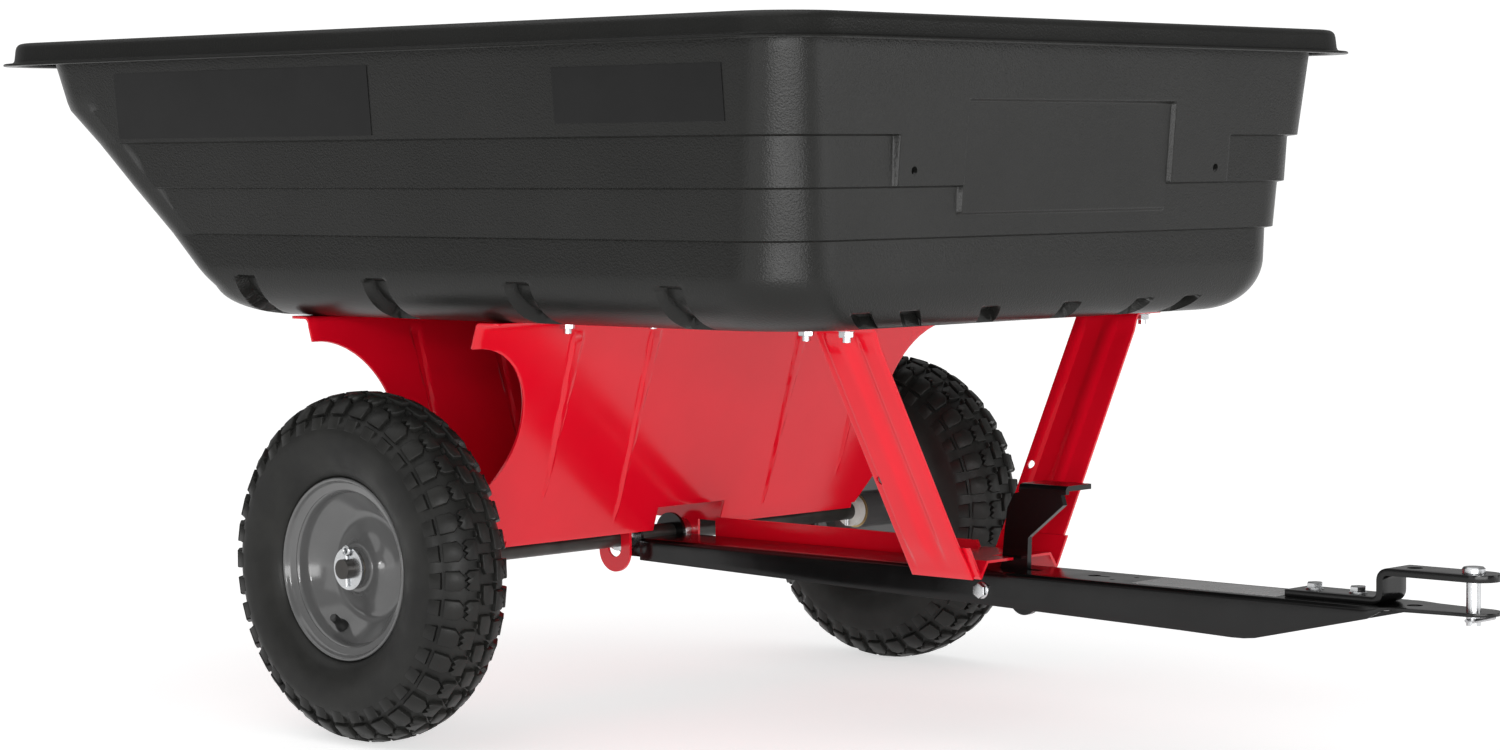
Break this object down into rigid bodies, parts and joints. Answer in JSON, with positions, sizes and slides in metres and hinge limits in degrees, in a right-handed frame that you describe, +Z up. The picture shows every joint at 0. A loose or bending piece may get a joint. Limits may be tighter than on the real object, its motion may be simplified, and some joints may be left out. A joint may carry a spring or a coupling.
{
  "type": "tow-behind dump cart",
  "caption": "Tow-behind garden dump cart: moulded tub on a steel saddle that tips about the axle, channel tongue with clevis hitch, foot latch and pneumatic wheels.",
  "frame": {"origin": "on the ground, under the middle of the cart's overall box, with the tyres standing on z = 0", "axes": "+X forward to the hitch, +Y to the cart's left, +Z up"},
  "size_m": [1.56, 0.8814, 0.6827],
  "materials": {
    "black_paint": "gloss powder coat",
    "red_paint": "gloss powder coat",
    "tub_plastic": "fine pebble texture",
    "rim_paint": "satin paint",
    "tyre_rubber": "matte",
    "tube_rubber": "matte",
    "cap_plastic": "matte",
    "plate_film": "satin",
    "zinc_plate": "bright zinc",
    "axle_steel": "oiled dark bar",
    "spring_steel": "drawn wire",
    "nylon": "natural nylon",
    "sleeve_bronze": "sintered"
  },
  "bodies": {
    "chassis": {"tongue": "black_paint", "tongue_yoke": "black_paint", "axle": "axle_steel", "axle_sleeves": "zinc_plate", "axle_spacers": "nylon", "roll_pins": "zinc_plate", "axle_washers": "zinc_plate", "axle_cotters": "zinc_plate", "hitch_strap": "black_paint", "hitch_bolts": "zinc_plate", "hitch_nuts": "zinc_plate", "latch_bolt": "zinc_plate", "latch_nut": "zinc_plate", "latch_bushings": "zinc_plate", "latch_spring": "spring_steel"},
    "bed": {"tub": "tub_plastic", "tub_bolts": "zinc_plate", "tub_washers": "zinc_plate", "tub_nuts": "zinc_plate", "label_plates": "plate_film", "saddle_front": "red_paint", "saddle_rear": "red_paint", "pivot_bracket_right": "red_paint", "pivot_bracket_left": "red_paint", "frame_rail": "red_paint", "brace_right": "red_paint", "brace_left": "red_paint", "brace_bridge": "red_paint"},
    "wheel_right": {"tyre_right": "tyre_rubber", "tube_right": "tube_rubber", "rim_outer_right": "rim_paint", "rim_inner_right": "rim_paint", "hub_right": "rim_paint", "bearings_right": "sleeve_bronze", "valve_stem_right": "tube_rubber", "valve_cap_right": "cap_plastic"},
    "wheel_left": {"tyre_left": "tyre_rubber", "tube_left": "tube_rubber", "rim_outer_left": "rim_paint", "rim_inner_left": "rim_paint", "hub_left": "rim_paint", "bearings_left": "sleeve_bronze", "valve_stem_left": "tube_rubber", "valve_cap_left": "cap_plastic"},
    "latch": {"latch_lever": "black_paint", "latch_pedal": "black_paint"},
    "pin": {"hitch_pin": "zinc_plate"},
    "clip": {"hitch_clip": "spring_steel"}
  },
  "joints": [
    {"name": "bed_tilt", "type": "hinge", "parent": "chassis", "child": "bed", "pos_m": [-0.228, 0, 0.169], "axis": [0, -1, 0], "range_deg": [0, 50]},
    {"name": "wheel_right_spin", "type": "hinge", "parent": "chassis", "child": "wheel_right", "pos_m": [-0.228, -0.385, 0.169], "axis": [0, 1, 0], "continuous": true},
    {"name": "wheel_left_spin", "type": "hinge", "parent": "chassis", "child": "wheel_left", "pos_m": [-0.228, 0.385, 0.169], "axis": [0, 1, 0], "continuous": true},
    {"name": "latch_release", "type": "hinge", "parent": "chassis", "child": "latch", "pos_m": [0.2453, 0, 0.15], "axis": [0, 1, 0], "range_deg": [0, 15], "stiffness_Nm_per_rad": 2, "springref_deg": -8.59},
    {"name": "hitch_pin_lift", "type": "slide", "parent": "chassis", "child": "pin", "axis": [0, 0, 1], "range_m": [0, 0.0025]},
    {"name": "clip_pull", "type": "slide", "parent": "pin", "child": "clip", "axis": [0, 1, 0], "range_m": [0, 0.03]}
  ]
}
